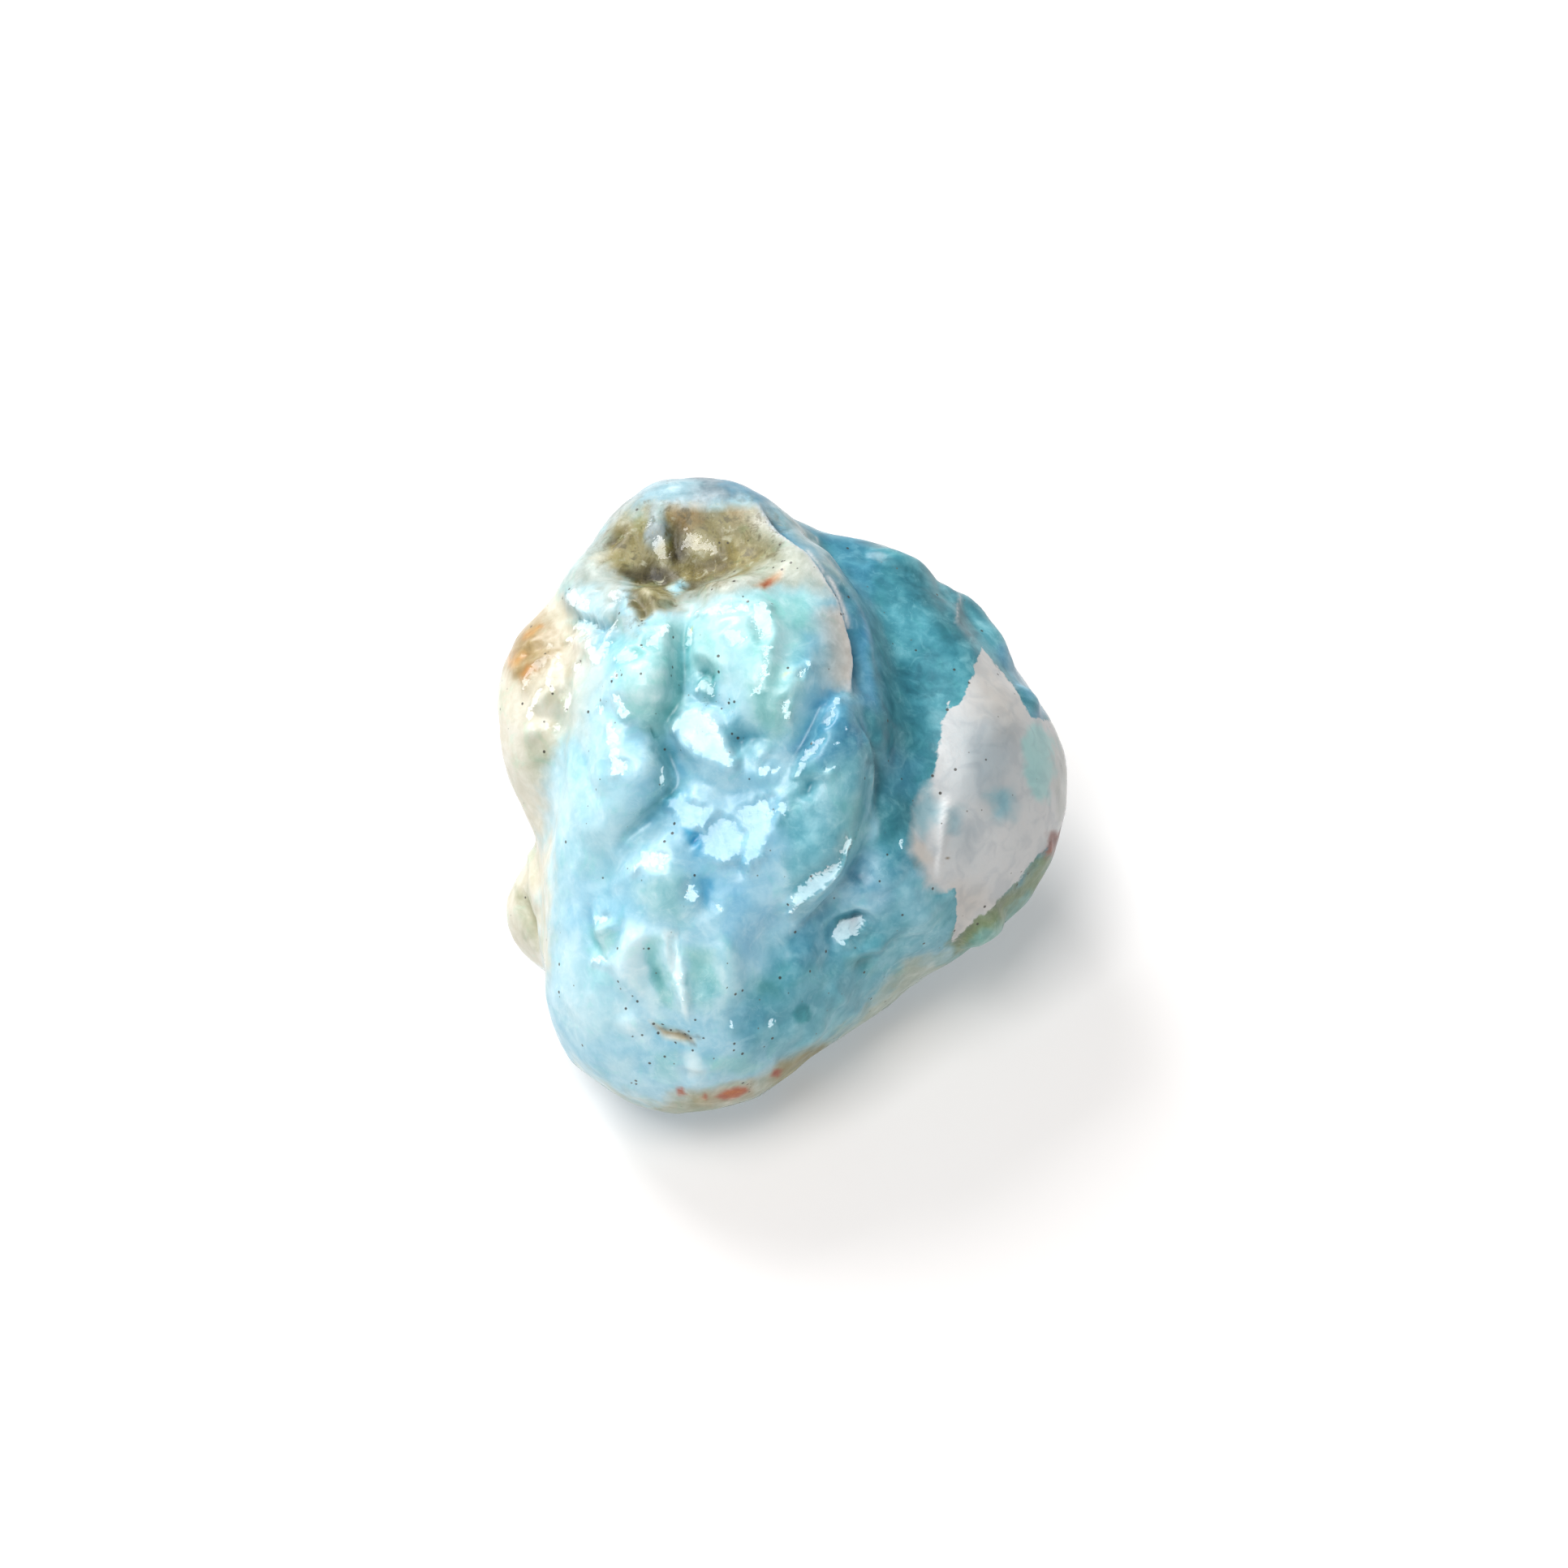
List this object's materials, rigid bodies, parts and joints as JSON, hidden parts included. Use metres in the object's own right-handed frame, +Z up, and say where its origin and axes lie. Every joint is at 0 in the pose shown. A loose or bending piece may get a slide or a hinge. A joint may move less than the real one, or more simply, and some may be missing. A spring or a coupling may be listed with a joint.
{
  "type": "raw larimar stone",
  "caption": "Water-worn nodule of raw blue larimar, walnut-sized and lobed, with a hollow in its crown and a small worn facet it rests on.",
  "frame": {"origin": "on the worn facet underneath, level with the surface the stone rests on", "axes": "+Z up from the worn facet, -Y towards the front (the toe of the long front lobe), +X towards the broad right flank"},
  "size_m": [0.0318, 0.033, 0.0257],
  "materials": {
    "larimar": "polished by water, with a wet gloss"
  },
  "bodies": {
    "root": {"larimar_stone": "larimar"}
  },
  "joints": []
}
